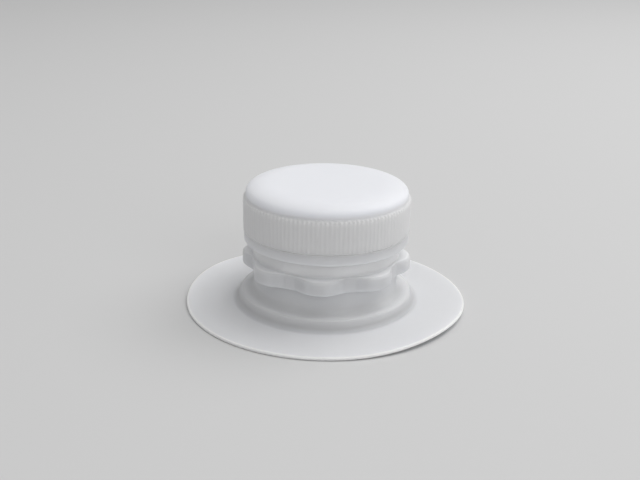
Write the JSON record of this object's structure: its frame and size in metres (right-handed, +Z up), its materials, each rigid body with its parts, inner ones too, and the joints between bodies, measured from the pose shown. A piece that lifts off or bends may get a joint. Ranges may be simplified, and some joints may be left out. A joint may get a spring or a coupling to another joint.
{
  "type": "pour ring spout",
  "caption": "Moulded pouring spout with a round weld flange, lobed collar, pour ring and ribbed screw cap over a tamper band.",
  "frame": {"origin": "centre of the foot's underside, on the axis of the neck", "axes": "+Z runs up the neck from the weld flange to the top of the cap, and the front of the picture faces -Y"},
  "size_m": [0.0712, 0.0712, 0.0318],
  "materials": {
    "natural_polyethylene": "soft satin, slightly translucent bluish white, undyed moulding",
    "clear_natural_polyethylene": "satin, undyed, softer and slightly milkier than the body",
    "white_polypropylene": "opaque warm white with a low even gloss",
    "foam_liner": "matt white foamed disc"
  },
  "bodies": {
    "spout": {"spout_body": "natural_polyethylene", "pour_ring": "clear_natural_polyethylene", "tamper_band": "white_polypropylene"},
    "seal": {"sealing_disc": "foam_liner"},
    "cap": {"screw_cap": "white_polypropylene"}
  },
  "joints": [
    {"name": "cap_lift", "type": "slide", "parent": "spout", "child": "seal", "axis": [0, 0, 1], "range_m": [0, 0.00445]},
    {"name": "cap_turn", "type": "hinge", "parent": "seal", "child": "cap", "pos_m": [0, 0, 0.02], "axis": [0, 0, 1], "range_deg": [0, 380]}
  ],
  "couplings": [
    {"joint": "cap_lift", "follows": "cap_turn", "m_per_rad": 0.00066845}
  ]
}
